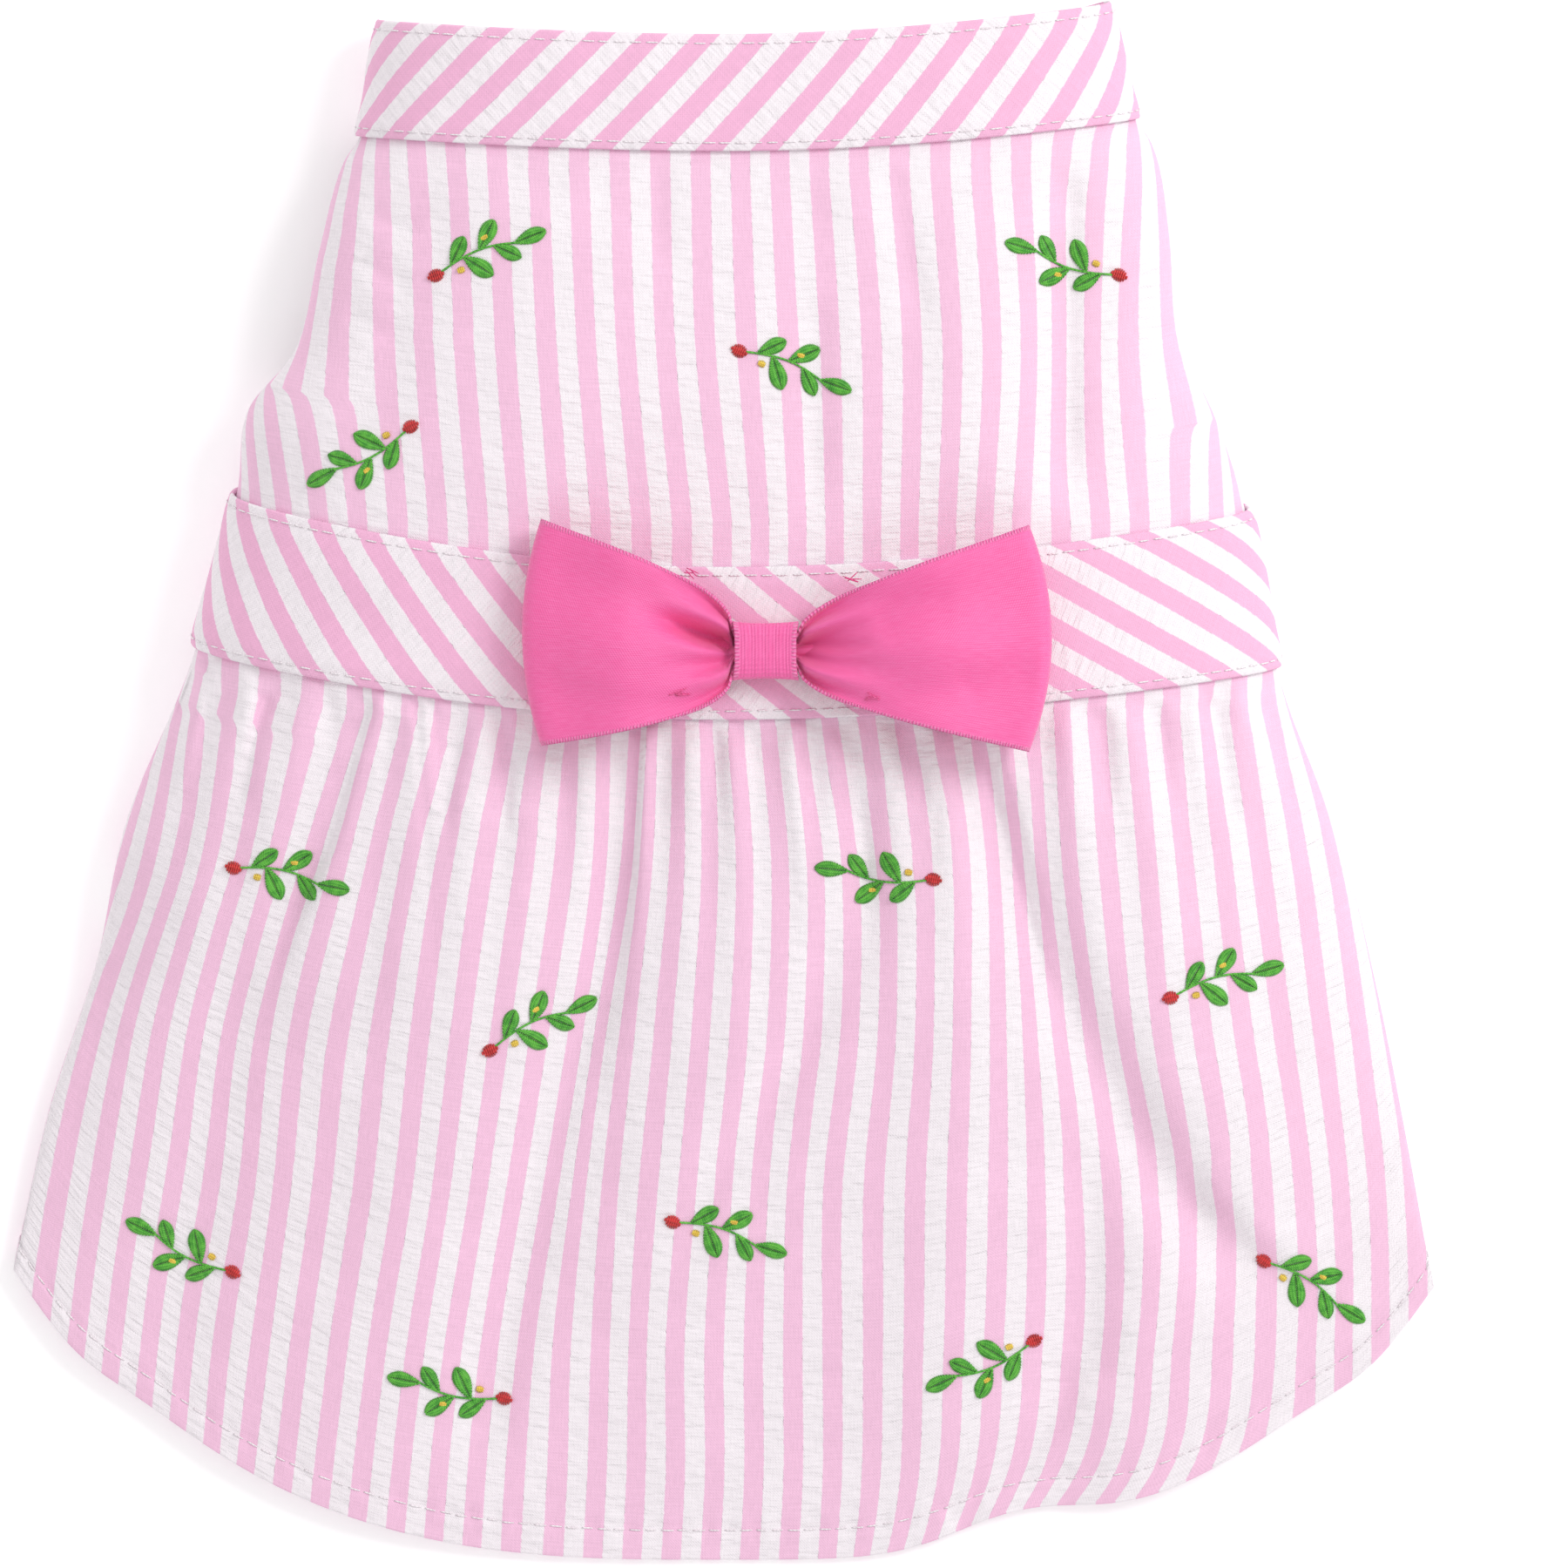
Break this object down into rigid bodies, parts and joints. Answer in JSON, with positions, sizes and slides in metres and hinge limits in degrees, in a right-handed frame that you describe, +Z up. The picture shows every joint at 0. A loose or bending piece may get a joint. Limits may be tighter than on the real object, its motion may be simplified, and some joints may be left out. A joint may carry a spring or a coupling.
{
  "type": "dog dress",
  "caption": "Small sleeveless dog's dress in striped puckered cotton with bias neck band and waistband, gathered skirt and satin ribbon bow, lying back up.",
  "frame": {"origin": "on the ground under the middle of the dress's outline, where it lies with its back up", "axes": "+Z up, out of the back; +Y along the back from the hem to the neck; +X to the right as seen in the picture"},
  "size_m": [0.2392, 0.2634, 0.0472],
  "materials": {
    "seersucker": "pink and white striped puckered cotton, matte",
    "bias_seersucker": "the same striped cotton cut on the slant, topstitched",
    "satin_ribbon": "hot pink satin ribbon with a soft sheen",
    "hook_and_loop": "white hook-and-loop tape"
  },
  "bodies": {
    "root": {"neck_band": "bias_seersucker", "back_panel": "seersucker", "chest_panel": "seersucker", "waist_band": "bias_seersucker", "skirt": "seersucker", "bow_loop_left": "satin_ribbon", "bow_loop_right": "satin_ribbon", "bow_knot": "satin_ribbon", "neck_fastener": "hook_and_loop", "belly_fastener": "hook_and_loop"}
  },
  "joints": []
}
